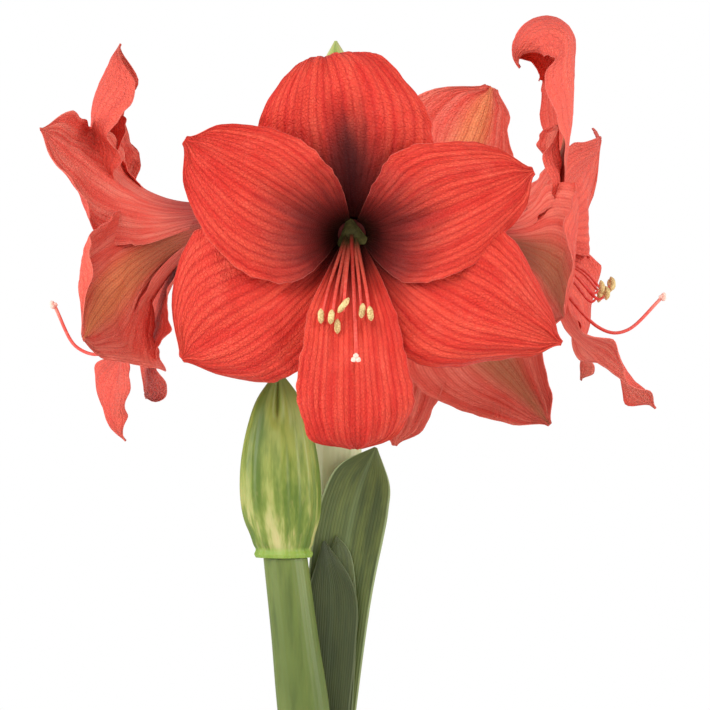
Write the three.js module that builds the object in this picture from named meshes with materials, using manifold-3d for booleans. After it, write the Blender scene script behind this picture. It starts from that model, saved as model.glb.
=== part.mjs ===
// Potted amaryllis (Hippeastrum): a bulb in a plain clay pot, one flower stalk with four open red
// blooms and a small green bud, a second stalk with its bud still closed, and three strap leaves.
// Units are millimetres. +Z is up, -Y is the front, and the origin is the middle of the pot's base.
import * as THREE from "three";
import { mergeVertices } from "three/addons/utils/BufferGeometryUtils.js";
import Module from "manifold-3d";

const wasm = await Module();
wasm.setup();

// Driving dimensions
const GAP = 0.4; // clearance between neighbouring pieces
const POT_HEIGHT = 130;
const POT_BASE_RADIUS = 52;
const POT_RIM_RADIUS = 76;
const POT_RIM_HEIGHT = 30;
const POT_WALL = 6;
const POT_FLOOR = 9;
const SOIL_TOP = 114;
const BULB_RADIUS = 49;
const BULB_BASE = 46;
const BULB_WIDEST = 92;
const NECK_TOP = 158;
const NECK_RADIUS = 33;
const POCKET_FLOOR = 142; // the stalks and leaves stand in a socket in the bulb's neck
const POCKET_RADIUS = 28.6;
const FOOT = POCKET_FLOOR + GAP; // where stalks and leaves start
const TEPAL_THICKNESS = 0.8;
const LEAF_THICKNESS = 1.6;
const TUBE_LENGTH = 13; // the short tube that a bloom's six tepals grow from
const TUBE_RADIUS = 6.6;
const OVARY_LENGTH = 15;
const UMBEL = [8, 14, 424]; // where the bloom stems leave the main stalk
const SMALL_BUD_BASE = 466;

const rad = THREE.MathUtils.degToRad;
const smooth = THREE.MathUtils.smoothstep;
const vec = ([x, y, z]) => new THREE.Vector3(x, y, z);

// A smooth curve through evenly spaced values, read at u from 0 to 1
function through(values, u) {
  const spans = values.length - 1;
  const at = Math.min(Math.max(u, 0), 1) * spans;
  const i = Math.min(Math.floor(at), spans - 1);
  const t = at - i;
  const [p1, p2] = [values[i], values[i + 1]];
  const p0 = i > 0 ? values[i - 1] : 2 * p1 - p2;
  const p3 = i + 2 <= spans ? values[i + 2] : 2 * p2 - p1;
  const [m1, m2] = [(p2 - p0) / 2, (p3 - p1) / 2];
  return p1 + m1 * t + (3 * (p2 - p1) - 2 * m1 - m2) * t ** 2 + (2 * (p1 - p2) + m1 + m2) * t ** 3;
}

// The same for points, as a vector
function pointThrough(list, u) {
  return new THREE.Vector3(...[0, 1, 2].map((k) => through(list.map((p) => p[k]), u)));
}

// Closed meshes, joined and cut with manifold-3d
function solidFrom(geometry) {
  const bare = new THREE.BufferGeometry();
  bare.setAttribute("position", geometry.getAttribute("position"));
  if (geometry.index) bare.setIndex(geometry.index);
  const merged = mergeVertices(bare, 1e-3);
  const vertProperties = new Float32Array(merged.attributes.position.array);
  const triVerts = new Uint32Array(merged.index.array);
  return new wasm.Manifold(new wasm.Mesh({ numProp: 3, vertProperties, triVerts }));
}

function geometryFrom(solid) {
  const mesh = solid.getMesh();
  const shared = new THREE.BufferGeometry();
  shared.setAttribute("position", new THREE.BufferAttribute(mesh.vertProperties, 3));
  shared.setIndex(new THREE.BufferAttribute(mesh.triVerts, 1));
  const geometry = shared.toNonIndexed();
  geometry.computeVertexNormals();
  return geometry;
}

// The join of several closed meshes, without the specks that a join can leave
function joined(geometries) {
  const largest = (solid) => solid.decompose().sort((a, b) => b.volume() - a.volume())[0];
  const solids = geometries.map(solidFrom);
  const whole = solids.slice(1).reduce((sum, solid) => sum.add(solid), solids[0]);
  return geometryFrom(largest(solidFrom(geometryFrom(largest(whole)))));
}

function meshFrom(positions, index) {
  const geometry = new THREE.BufferGeometry();
  geometry.setAttribute("position", new THREE.Float32BufferAttribute(positions, 3));
  geometry.setIndex(index);
  return geometry;
}

// A closed blade round a surface (u, v) -> point, with both of its faces split alike
function blade(surface, rows, columns, thickness) {
  const step = 1e-3;
  const positions = [];
  const index = [];
  const at = (i, j, face) => (i * (columns + 1) + j) * 2 + face;
  for (const u of rows)
    for (let j = 0; j <= columns; j++) {
      const v = -1 + (2 * j) / columns;
      const start = Math.min(u, 1 - step);
      const along = surface(start + step, v).sub(surface(start, v));
      const inward = v - step * Math.sign(v || 1);
      const across = surface(start, v).sub(surface(start, inward)).multiplyScalar(Math.sign(v || 1));
      const normal = across.cross(along).normalize();
      for (const side of [0.5, -0.5])
        positions.push(...surface(u, v).addScaledVector(normal, side * thickness));
    }
  const quad = (a, b, c, d) => index.push(a, b, c, a, c, d);
  const last = rows.length - 1;
  for (let i = 0; i < last; i++) {
    for (let j = 0; j < columns; j++) {
      quad(at(i, j, 0), at(i, j + 1, 0), at(i + 1, j + 1, 0), at(i + 1, j, 0));
      const [a, b, c, d] = [at(i, j, 1), at(i, j + 1, 1), at(i + 1, j + 1, 1), at(i + 1, j, 1)];
      index.push(a, c, b, a, d, c);
    }
    quad(at(i, 0, 0), at(i + 1, 0, 0), at(i + 1, 0, 1), at(i, 0, 1));
    quad(at(i, columns, 0), at(i, columns, 1), at(i + 1, columns, 1), at(i + 1, columns, 0));
  }
  for (let j = 0; j < columns; j++) {
    quad(at(0, j, 0), at(0, j, 1), at(0, j + 1, 1), at(0, j + 1, 0));
    quad(at(last, j, 0), at(last, j + 1, 0), at(last, j + 1, 1), at(last, j, 1));
  }
  return meshFrom(positions, index);
}

// A closed rod along points, with its half width and half depth given along its length; its
// sections are square to its way, or level
function rod(list, widths, depths, sides, steps, level = false) {
  const front = new THREE.Vector3(0, 1, 0);
  const positions = [];
  const index = [];
  for (let i = 0; i <= steps; i++) {
    const t = i / steps;
    const centre = pointThrough(list, t);
    const tangent = pointThrough(list, Math.min(t + 0.01, 1)).sub(pointThrough(list, Math.max(t - 0.01, 0)));
    if (level) tangent.set(0, 0, 1);
    tangent.normalize();
    const guide = Math.abs(tangent.y) > 0.9 ? new THREE.Vector3(0, 0, -1) : front;
    const side = guide.clone().cross(tangent).normalize();
    const deep = tangent.clone().cross(side);
    for (let k = 0; k < sides; k++) {
      const a = (2 * Math.PI * k) / sides;
      const p = centre.clone().addScaledVector(side, through(widths, t) * Math.cos(a));
      positions.push(...p.addScaledVector(deep, through(depths, t) * Math.sin(a)));
    }
  }
  const top = steps * sides;
  for (let k = 0; k < sides; k++) {
    const next = (k + 1) % sides;
    for (let i = 0; i < steps; i++) {
      const [a, b] = [i * sides + k, i * sides + next];
      index.push(a, b, b + sides, a, b + sides, a + sides);
    }
    if (k > 0 && k < sides - 1) index.push(0, next, k, top, top + k, top + next);
  }
  return meshFrom(positions, index);
}

// A solid of revolution about +Z from (radius, height) pairs
function turned(profile, sides) {
  const outline = profile.map(([r, z]) => new THREE.Vector2(r, z));
  return new THREE.LatheGeometry(outline, sides).rotateX(Math.PI / 2);
}

// A bloom's own frame has x to the right, y up and z out of the throat, as seen from its front.
// flare: the midrib's slope away from the bloom's axis, in degrees, from the base to the tip.
// left, right: how far each edge is turned from the midrib, in degrees round the bloom's axis.
// wave, waves, phase: the ripple of the edges; pillow: the swell either side of the midrib;
// roll: how far both edges bend forward; twist: how far one edge bends forward and one back.
function tepalSurface(t) {
  const steps = 60;
  const line = [[t.inner ? 5.9 : 6.8, 3]];
  for (let i = 0; i < steps; i++) {
    const slope = rad(through(t.flare, (i + 0.5) / steps));
    const [r, z] = line[i];
    line.push([r + (Math.sin(slope) * t.length) / steps, z + (Math.cos(slope) * t.length) / steps]);
  }
  return (u, v) => {
    const at = Math.min(u * steps, steps - 1e-6);
    const i = Math.floor(at);
    const [r, z] = [0, 1].map((k) => line[i][k] + (line[i + 1][k] - line[i][k]) * (at - i));
    const slope = rad(through(t.flare, u));
    const turn = rad(t.angle + v * through(v < 0 ? t.right : t.left, u));
    const near = Math.abs(v);
    const open = smooth(u, 0.35, 0.75) * (1 - smooth(u, 0.9, 1));
    const ripple = Math.sin(2 * Math.PI * t.waves * u + t.phase + (v < 0 ? 2 : 0));
    const hump = 4 * near * (1 - near) * (1 - smooth(u, 0.8, 1));
    const swell = t.wave * near ** 2 * ripple + t.pillow * hump;
    const bend = through(t.roll, u) * near ** 3 + through(t.twist, u) * v;
    const lift = open * (swell + bend);
    const across = r - Math.cos(slope) * lift;
    return vec([Math.cos(turn) * across, Math.sin(turn) * across, z + Math.sin(slope) * lift]);
  };
}

const OUTER = {
  inner: false,
  length: 134,
  flare: [10, 18, 36, 62, 82, 98, 112],
  left: [57, 57, 57, 56, 48, 32, 3],
  right: [57, 57, 57, 56, 48, 32, 3],
  wave: 4,
  waves: 3,
  phase: 0,
  pillow: 2.5,
  roll: [-5, -5],
  twist: [0, 0],
};
const INNER = {
  ...OUTER,
  inner: true,
  length: 132,
  flare: [8, 12, 26, 52, 76, 92, 104],
  left: [50, 50, 50, 48, 40, 25, 3],
  right: [50, 50, 50, 48, 40, 25, 3],
  roll: [-1, -1],
};

// The four open blooms: where each tube starts, where it faces, its six tepals, its anthers as
// points across the throat, and the way of its style after it leaves the throat
const SIDE_ANTHERS = [[-13, -30], [-9, -33], [-4, -28], [5, -32], [9, -30], [13, -27]];
const BLOOMS = [
  {
    name: "front",
    base: [15.6, -42, 435.5],
    facing: [0, -1, -0.14],
    tepals: [
      {
        ...OUTER,
        angle: 98,
        length: 134,
        flare: [10, 16, 30, 50, 68, 78, 86, 140, 220],
        left: [57, 57, 57, 57, 54, 43, 30, 13, 4],
        right: [57, 57, 57, 57, 57, 50, 38, 21, 4],
        roll: [-5, -5, -5, -5, -5, -5, -4, 0, 0],
        wave: 2,
      },
      {
        ...OUTER,
        angle: 214,
        length: 131,
        left: [57, 57, 55, 46, 37, 25, 4],
        right: [57, 57, 55, 54, 48, 36, 4],
      },
      {
        ...OUTER,
        angle: 335,
        length: 148,
        left: [57, 57, 57, 52, 40, 17, 2],
        right: [55, 55, 52, 46, 36, 15, 2],
      },
      {
        ...INNER,
        angle: 147,
        length: 137,
        left: [58, 60, 66, 66, 48, 25, 5],
        right: [50, 50, 50, 46, 36, 20, 4],
      },
      {
        ...INNER,
        angle: 23,
        length: 136,
        left: [50, 50, 50, 48, 42, 22, 4],
        right: [56, 60, 62, 58, 38, 19, 4],
      },
      {
        ...INNER,
        angle: 271,
        length: 149,
        flare: [8, 13, 28, 54, 74, 94, 165],
        left: [50, 48, 42, 34, 26, 21, 9],
        right: [50, 48, 42, 36, 27, 20, 8],
      },
    ],
    anthers: [[-15, -34], [-10, -34], [-4, -28], [-7, -39], [5, -31], [9, -32]],
    style: [[1, -22, 62], [2, -46, 88], [2, -50, 104]],
  },
  {
    name: "left",
    base: [-42, 2, 447],
    facing: [-1, 0, -0.25],
    tepals: [
      {
        ...INNER,
        angle: 90,
        length: 138,
        flare: [10, 18, 35, 66, 104, 122, 128],
        left: [57, 57, 57, 54, 46, 32, 3],
        right: [50, 50, 48, 46, 44, 32, 3],
        wave: 5,
        waves: 4,
        phase: -0.4,
        roll: [-10, -10],
      },
      {
        ...OUTER,
        angle: 242,
        length: 116,
        flare: [10, 20, 42, 58, 64, 68, 72],
        left: [40, 40, 40, 44, 46, 42, 16],
        right: [57, 57, 57, 54, 50, 42, 14],
        twist: [0, 0, -2, -3, -3],
      },
      {
        ...OUTER,
        angle: 332,
        length: 134,
        flare: [10, 16, 33, 53, 63, 68, 74],
        left: [57, 57, 57, 50, 38, 26, 4],
        right: [57, 57, 60, 62, 54, 26, 4],
        roll: [-5, -5, -7, -12, -16, -13, 0],
        twist: [0, 0, 0, 2, 5, 6, 0],
      },
      { ...INNER, angle: 122, length: 110, flare: [8, 13, 30, 58, 80, 92, 98], roll: [-8, -8] },
      {
        ...OUTER,
        angle: 46,
        length: 122,
        flare: [8, 17, 37, 56, 62, 58, 52],
        left: [50, 50, 50, 48, 36, 13, 3],
        right: [54, 56, 58, 54, 42, 20, 3],
        roll: [-3, -3],
        twist: [0, -2, -5, -8, -8, -4],
      },
      {
        ...INNER,
        angle: 270,
        length: 140,
        flare: [8, 14, 26, 36, 43, 48, 53, 58, 64, 84, 125],
        wave: 2,
        waves: 4,
        twist: [0, 0, 0, -1, -1, -2, -2, -4, -13, -6, -6],
        left: [50, 49, 47, 44, 39, 33, 27, 24, 26, 9, 6],
        right: [50, 49, 47, 44, 39, 33, 27, 24, 26, 9, 6],
      },
    ],
    anthers: SIDE_ANTHERS,
    style: [[1, -24, 60], [2, -52, 83], [2, -47, 100], [2, -23, 106]],
  },
  {
    name: "right",
    base: [66, 0, 436],
    facing: [1, 0, 0],
    tepals: [
      {
        ...OUTER,
        angle: 90,
        length: 179,
        flare: [11, 16, 28, 50, 76, 86, 88, 96, 172, 236, 310],
        left: [57, 57, 57, 57, 56, 50, 42, 34, 28, 20, 8],
        right: [57, 57, 57, 57, 56, 50, 42, 34, 28, 20, 8],
        wave: 3,
        waves: 4,
        phase: 0.8,
        roll: [-17, -17, -17, -17, -17, -16, -15, -15, -12, -12, -12],
      },
      {
        ...OUTER,
        angle: 207,
        length: 116,
        flare: [10, 17, 33, 53, 70, 78, 84, 88, 92],
        left: [50, 50, 50, 50, 46, 38, 26, 14, 3],
        right: [50, 50, 50, 56, 64, 56, 38, 20, 3],
        twist: [0, -4, -12, -12, -4],
      },
      {
        ...OUTER,
        angle: 305,
        length: 124,
        flare: [10, 16, 34, 54, 70, 82, 92],
        left: [57, 57, 57, 54, 48, 30, 3],
        right: [50, 50, 44, 30, 15, 7, 2],
        roll: [-5, -5, 0, 6, 8],
        twist: [0, 0, 2, 3, 0],
      },
      { ...INNER, angle: 125, length: 90, flare: [8, 13, 28, 50, 72, 84, 90], roll: [-4, -4] },
      {
        ...INNER,
        angle: 39,
        length: 123,
        flare: [8, 13, 28, 50, 64, 70, 72],
        left: [50, 50, 50, 46, 34, 18, 4],
        right: [50, 50, 50, 54, 54, 40, 5],
        twist: [0, 0, -4, -8, -6, 3, 0],
      },
      {
        ...INNER,
        angle: 270,
        length: 139,
        flare: [8, 20, 46, 61, 42, 39, 43],
        wave: 5,
        waves: 4,
        twist: [-4, -4],
        left: [50, 48, 42, 34, 26, 16, 3],
        right: [50, 48, 42, 34, 26, 16, 3],
      },
    ],
    anthers: [[-13, -29], [-9, -32], [-4, -27], [5, -33], [9, -31], [13, -28]],
    style: [[1, -26, 56], [2, -48, 77], [2, -50, 93], [2, -33, 111]],
  },
  {
    name: "back",
    base: [22, 62, 430],
    facing: [0.44, 0.88, -0.1],
    tepals: [
      {
        ...OUTER,
        angle: 114,
        length: 138,
        left: [57, 57, 57, 54, 33, 18, 8],
        right: [57, 57, 57, 57, 50, 38, 9],
      },
      {
        ...OUTER,
        angle: 228,
        length: 155,
        flare: [10, 16, 34, 62, 80, 88, 96],
        left: [57, 57, 57, 54, 42, 17, 2],
        right: [57, 57, 57, 54, 38, 14, 2],
      },
      { ...OUTER, angle: 350 },
      { ...INNER, angle: 172 },
      { ...INNER, angle: 52 },
      { ...INNER, angle: 278, length: 144, right: [50, 50, 46, 38, 27, 16, 3] },
    ],
    anthers: SIDE_ANTHERS,
    style: [[1, -22, 60], [2, -42, 86], [2, -40, 102]],
  },
];

const TEPAL_ROWS = [0, 0.2, 0.37, 0.5, 0.61, 0.71, 0.81, 0.91, 1];
const TEPAL_COLUMNS = 6;

// The frame that a bloom's pieces are placed in
function placeOf({ base, facing }) {
  const out = vec(facing).normalize();
  const right = new THREE.Vector3(0, 0, 1).cross(out).normalize();
  const up = out.clone().cross(right);
  return new THREE.Matrix4().makeBasis(right, up, out).setPosition(vec(base));
}

function tepals(bloom) {
  const r = TUBE_RADIUS;
  const tube = [[r - 1.6, 0], [r + 0.6, 0], [r + 1.2, TUBE_LENGTH], [r - 1.2, TUBE_LENGTH], [r - 1.6, 0]];
  const blades = bloom.tepals.map((t) => blade(tepalSurface(t), TEPAL_ROWS, TEPAL_COLUMNS, TEPAL_THICKNESS));
  return joined([turned(tube, 16), ...blades]);
}

// Six filaments rise from a ring in the tube, fan out and end in anthers
function stamens(bloom) {
  const ring = turned([[1.9, 9], [4.2, 9], [4.2, 12], [1.9, 12], [1.9, 9]], 6);
  const parts = bloom.anthers.flatMap(([x, y], k) => {
    const turn = rad(270 + 5 * x);
    const reach = 78 + 3 * (k % 3);
    const foot = [3.1 * Math.cos(turn), 3.1 * Math.sin(turn), 10];
    const way = [foot, [x * 0.55, y * 0.26, 42], [x * 0.85, y * 0.62, reach - 12], [x, y + 1, reach]];
    const anther = [[x, y - 2, reach], [x, y + 1, reach + 0.8], [x, y + 4, reach]];
    return [
      rod(way, [0.9, 0.8], [0.9, 0.8], 4, 3),
      rod(anther, [0.7, 1.4, 0.7], [0.7, 1.4, 0.7], 4, 2),
    ];
  });
  return joined([ring, ...parts]);
}

// The style leaves the middle of the throat and ends in a three-lobed stigma
function pistil(bloom) {
  const path = [[0, 0, 0], [0, -4, 30], ...bloom.style];
  const [x, y, z] = path[path.length - 1];
  const lobes = [90, 210, 330].map((a) => {
    const tip = [x + 2.6 * Math.cos(rad(a)), y + 2.6 * Math.sin(rad(a)), z + 1.5];
    return rod([[x, y, z - 1], tip], [0.8, 1.2], [0.8, 1.2], 4, 1);
  });
  return joined([rod(path, [1, 0.9, 0.8], [1, 0.9, 0.8], 5, 9), ...lobes]);
}

// The part of the stalk's top that carries one bloom: a stem, and the ovary it ends in
function pedicel(bloom, knee) {
  const out = vec(bloom.facing).normalize();
  const at = (back) => vec(bloom.base).addScaledVector(out, -back).toArray();
  const stem = rod([UMBEL, knee, at(OVARY_LENGTH - 2)], [7, 5, 4.6], [7, 5, 4.6], 6, 3);
  const ovary = rod([at(OVARY_LENGTH), at(OVARY_LENGTH / 2), at(GAP)], [4, 7.4, 6.4], [4, 7.4, 6.4], 8, 3);
  return [stem, ovary];
}

function mainScape() {
  const way = [[4, 15, FOOT], [5, 15, 230], [8, 15, 330], UMBEL];
  const stalk = rod(way, [13, 12.8, 12.6, 12], [9.6, 10, 10, 9], 14, 5, true);
  const knees = {
    front: [12, -6, 436],
    left: [-8, 8, 446],
    right: [30, 8, 436],
    back: [11, 30, 432],
  };
  const stems = BLOOMS.flatMap((bloom) => pedicel(bloom, knees[bloom.name]));
  const budWay = [UMBEL, [8, 21, 446], [7.5, 24, SMALL_BUD_BASE - GAP]];
  const budHalves = [6, 4.4, 4.6];
  const budStem = rod(budWay, budHalves, budHalves, 8, 3, true);
  return joined([stalk, ...stems, budStem]);
}

// A flat tapering strip along points, its face turned to the front, its edges bent by `channel`
function strap(list, halves, channel, steps, columns, thickness) {
  const rows = Array.from({ length: steps + 1 }, (_, i) => i / steps);
  const surface = (u, v) => {
    const tangent = pointThrough(list, Math.min(u + 0.01, 1)).sub(pointThrough(list, Math.max(u - 0.01, 0)));
    const side = vec([tangent.z, 0, -tangent.x]).normalize();
    const half = Math.max(through(halves, u), 0.5);
    const point = pointThrough(list, u).addScaledVector(side, v * half);
    return point.add(vec([0, -channel * v * v * (half / Math.max(...halves)) ** 2, 0]));
  };
  return blade(surface, rows, columns, thickness);
}

const root = new THREE.Group();
root.name = "potted_amaryllis";
function add(name, geometry, colour, place) {
  const mesh = new THREE.Mesh(geometry, new THREE.MeshStandardMaterial({ color: colour, name }));
  mesh.name = name;
  if (place) mesh.applyMatrix4(place);
  root.add(mesh);
}

// Pot, and the soil it is filled with round the bulb
const innerWall = (z) => POT_RIM_RADIUS - POT_WALL - (POT_HEIGHT - z) * 0.194;
const pot = [
  [0, 0],
  [POT_BASE_RADIUS - 1.5, 0],
  [POT_BASE_RADIUS, 1.5],
  [innerWall(POT_HEIGHT - POT_RIM_HEIGHT) + POT_WALL, POT_HEIGHT - POT_RIM_HEIGHT],
  [POT_RIM_RADIUS - 0.5, POT_HEIGHT - POT_RIM_HEIGHT],
  [POT_RIM_RADIUS, POT_HEIGHT - 2],
  [POT_RIM_RADIUS - 2, POT_HEIGHT],
  [innerWall(POT_HEIGHT) + 1, POT_HEIGHT],
  [innerWall(POT_HEIGHT - 1), POT_HEIGHT - 1],
  [innerWall(POT_FLOOR), POT_FLOOR],
  [0, POT_FLOOR],
];
add("pot", turned(pot, 36), 0xb0603c);

const bulb = [
  [0, BULB_BASE],
  [18, BULB_BASE],
  [33, 52],
  [45, 68],
  [BULB_RADIUS, BULB_WIDEST],
  [46, 110],
  [38, 128],
  [NECK_RADIUS, 144],
  [NECK_RADIUS, NECK_TOP - 1],
  [NECK_RADIUS - 1, NECK_TOP],
  [NECK_RADIUS - 3, NECK_TOP],
  [POCKET_RADIUS, NECK_TOP - 2],
  [POCKET_RADIUS, POCKET_FLOOR],
  [0, POCKET_FLOOR],
];
add("bulb", turned(bulb, 24), 0x8a5a35);

const soil = [
  [0, POT_FLOOR + GAP],
  [innerWall(POT_FLOOR) - GAP, POT_FLOOR + GAP],
  [innerWall(SOIL_TOP - 2) - GAP, SOIL_TOP - 2],
  [innerWall(SOIL_TOP - 2) - 4, SOIL_TOP],
  [46, SOIL_TOP + 1],
  [46.6, 110],
  [49.6, 92],
  [45.6, 68],
  [34, 51.6],
  [26, 44],
  [34, 34],
  [30, 18],
  [0, 18],
];
add("potting_soil", turned(soil, 24), 0x3a2a20);

// Fleshy roots that spread from the plate under the bulb
const PLATE_TOP = BULB_BASE - GAP;
const plate = turned([[0, 42.6], [15, 42.6], [17, 44], [16, PLATE_TOP], [0, PLATE_TOP]], 12);
const rootHalves = [2.4, 2.2, 1.6, 0.9];
const rootlets = Array.from({ length: 7 }, (_, k) => {
  const at = (r, z, swing) => {
    const turn = rad(51 * k + 12 * (k % 2) + swing);
    return [r * Math.cos(turn), r * Math.sin(turn), z];
  };
  const way = [at(12, 44, 0), at(19, 37, 4), at(26, 31, 12), at(24, 21, 26)];
  return rod(way, rootHalves, rootHalves, 4, 4);
});
add("roots", joined([plate, ...rootlets]), 0xe8dcc0);

// Leaves and stalks stand in the socket of the neck
const LEAF_COLUMNS = 4;
const tall = [
  [3, 2, FOOT],
  [4.6, 2, 188],
  [7, 2, 226],
  [10, 1, 256],
  [14, 0, 281],
  [19.5, -1, 304],
  [28, -2, 325],
];
const tallHalves = [10, 12, 14, 15.5, 16.6, 17.6, 18.2, 17.6, 14, 0.8];
add("leaf_tall", strap(tall, tallHalves, 3, 12, LEAF_COLUMNS, LEAF_THICKNESS), 0x4f7040);
const small = [[3, -1.6, FOOT], [5, -1.6, 190], [8, -1.8, 235], [9.4, -2, 266], [7.3, -2.4, 279]];
const smallHalves = [9, 11, 10, 6.5, 0.6];
add("leaf_small", strap(small, smallHalves, 0.6, 8, LEAF_COLUMNS, LEAF_THICKNESS), 0x55764a);
const short = [[0, -5, FOOT], [1.5, -5, 186], [4, -5, 222], [5, -5, 250], [1.1, -5.4, 276.5]];
const shortHalves = [11, 12.4, 13.5, 12.4, 0.8];
add("leaf_short", strap(short, shortHalves, 1.2, 10, LEAF_COLUMNS, LEAF_THICKNESS), 0x55764a);

add("main_scape", mainScape(), 0x9db184);
const greenBud = [[7.5, 24, SMALL_BUD_BASE], [7.5, 24.5, 500], [7, 25, 538.6]];
const greenHalves = [5, 10.5, 12, 11.8, 10, 0.8];
add("small_bud", rod(greenBud, greenHalves, greenHalves, 12, 7, true), 0x9fb45a);

const budStalk = [[-4, -17.5, FOOT], [-9.3, -19, 190.5], [-14, -20, 230], [-18.6, -20, 268.6]];
const stalkHalves = [13, 13.4, 12, 11.3];
const stalkDepths = [8.6, 9.4, 9.6, 9.4];
add("bud_scape", rod(budStalk, stalkHalves, stalkDepths, 14, 5, true), 0x7f9a58);
const closedBud = [[-19.6, -20, 269], [-21.6, -20, 310], [-22.2, -20, 365]];
const budHalves = [13.8, 15.8, 19, 20.3, 20.2, 19, 16.2, 11, 0.8];
const budDepths = [11.5, 12.5, 14, 15, 15, 14, 12, 8, 0.8];
add("bud_spathe", rod(closedBud, budHalves, budDepths, 14, 10, true), 0x8fae5c);

// The two withered bracts that once covered the buds hang from the top of the stalk
const BRACT_THICKNESS = 0.8;
const hang = {
  left: [[-6.6, 14, 421], [-17, 12, 412], [-21, 10, 366]],
  right: [[22.6, 14, 421], [32, 12, 412], [35, 10, 364]],
};
for (const [side, list] of Object.entries(hang)) {
  const bract = strap(list, [4, 8, 8.5, 6, 0.7], 1.5, 8, 2, BRACT_THICKNESS);
  add(`spathe_bract_${side}`, bract, 0xb8a078);
}

for (const bloom of BLOOMS) {
  const place = placeOf(bloom);
  add(`bloom_${bloom.name}`, tepals(bloom), 0xe8443a, place);
  add(`stamens_${bloom.name}`, stamens(bloom), 0xe8d8a8, place);
  add(`pistil_${bloom.name}`, pistil(bloom), 0xe05050, place);
}
export default root;
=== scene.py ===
"""Looks of a potted amaryllis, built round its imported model.

Metres, +Z up, and -Y is the front. The shape lists are in millimetres, as in the part's source.
"""

import math

import bpy
import numpy as np
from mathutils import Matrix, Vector


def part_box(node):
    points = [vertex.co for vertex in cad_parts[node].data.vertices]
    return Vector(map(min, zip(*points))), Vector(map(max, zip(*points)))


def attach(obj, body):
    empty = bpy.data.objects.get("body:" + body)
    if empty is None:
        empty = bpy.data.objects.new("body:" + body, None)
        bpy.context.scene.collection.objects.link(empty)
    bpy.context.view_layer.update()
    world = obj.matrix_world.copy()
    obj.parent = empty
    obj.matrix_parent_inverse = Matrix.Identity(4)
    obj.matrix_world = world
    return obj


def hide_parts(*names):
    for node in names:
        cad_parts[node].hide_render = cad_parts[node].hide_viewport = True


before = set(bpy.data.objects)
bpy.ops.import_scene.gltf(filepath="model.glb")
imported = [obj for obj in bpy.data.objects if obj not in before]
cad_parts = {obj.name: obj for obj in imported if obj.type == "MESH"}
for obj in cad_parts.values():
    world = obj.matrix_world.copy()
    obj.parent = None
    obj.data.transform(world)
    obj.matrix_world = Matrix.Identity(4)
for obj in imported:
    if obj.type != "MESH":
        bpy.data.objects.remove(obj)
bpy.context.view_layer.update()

MM = 0.001
TURN = 2 * math.pi
BODY = "root"

# The view, in metres: where the camera stands, and how wide its picture is at the stalks
CAMERA_AT = Vector((0.01716, -1.8, 0.373))
VIEW_WIDTH = 0.3692
SENSOR_WIDTH = 36

# The light: the white surround as it is seen and as it lights, and the three lamps
SURROUND_SEEN = 1.0
SURROUND_LIGHT = 0.6
LAMP_POWER = 17
LAMP_TARGET = Vector((0, 0, 0.42))
LAMPS = [
    ("key", (-0.5, -1.6, 1.3), 1.2),
    ("left", (-1.6, -0.7, 0.7), 1.0),
    ("right", (1.6, -0.7, 0.7), 1.0),
]

# Sizes in millimetres that the pieces share. Leaves and stalks stand at FOOT in the bulb's neck, the
# bloom stems part at UMBEL, and the pot leans out by WALL_SLOPE for each millimetre of its height
GAP = 0.4
POCKET_FLOOR = 142
FOOT = POCKET_FLOOR + GAP
TUBE_LENGTH = 13
TUBE_RADIUS = 6.6
OVARY_LENGTH = 15
UMBEL = (8, 14, 424)
WALL_SLOPE = 0.194
LEAF_THICKNESS = 1.6
BRACT_THICKNESS = 0.8
FLAKES = 9
ROOTS = 7
CRUMBS = 620


# Numbers and curves


def smooth(x, low, high):
    """0 below low, 1 above high, and an S curve between them"""
    t = np.clip((x - low) / (high - low), 0, 1)
    return t * t * (3 - 2 * t)


def through(values, u):
    """A smooth curve through evenly spaced values, read at u from 0 to 1"""
    values = np.asarray(values, float)
    spans = len(values) - 1
    at = np.clip(np.asarray(u, float), 0, 1) * spans
    i = np.minimum(at.astype(int), spans - 1)
    t = at - i
    p1, p2 = values[i], values[i + 1]
    p0 = np.where(i > 0, values[i - 1], 2 * p1 - p2)
    p3 = np.where(i + 2 <= spans, values[np.minimum(i + 2, spans)], 2 * p2 - p1)
    m1, m2 = (p2 - p0) / 2, (p3 - p1) / 2
    return p1 + m1 * t + (3 * (p2 - p1) - 2 * m1 - m2) * t**2 + (2 * (p1 - p2) + m1 + m2) * t**3


def grid(rows, columns):
    """u from 0 to 1 down the rows, and v from -1 to 1 along the columns"""
    return np.meshgrid(np.linspace(0, 1, rows + 1), np.linspace(-1, 1, columns + 1), indexing="ij")


def along(points, u):
    """The same for points, as an array with x, y and z last"""
    return np.stack([through(axis, u) for axis in zip(*points)], -1)


def unit(vectors):
    """The vectors at length 1"""
    return vectors / np.linalg.norm(vectors, axis=-1, keepdims=True)


def turns(count):
    """Even steps once round a circle"""
    return np.linspace(0, TURN, count, endpoint=False)


def bell(x, middle, width):
    """1 at the middle, and less on either side"""
    return np.exp(-(((x - middle) / width) ** 2))


def around(radius, turn, height):
    """Points at a radius, a turn and a height about +Z"""
    spread = np.broadcast_arrays(radius * np.cos(turn), radius * np.sin(turn), height)
    return np.stack(spread, -1)


def lumps(coords, size, seed, octaves=3):
    """Soft unevenness from about -1 to 1 over coords, from waves in seeded directions"""
    draw = np.random.default_rng(seed)
    total = np.zeros(coords.shape[:-1])
    for octave in range(octaves):
        for _ in range(5):
            direction = unit(draw.normal(size=3)) * TURN * 2**octave / size
            total += np.sin(coords @ direction + draw.uniform(0, TURN)) / (2.5 * 2**octave)
    return total


# Meshes


def add(name, data):
    """A new object in the scene"""
    made = bpy.data.objects.new(name, data)
    bpy.context.scene.collection.objects.link(made)
    return made


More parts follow.
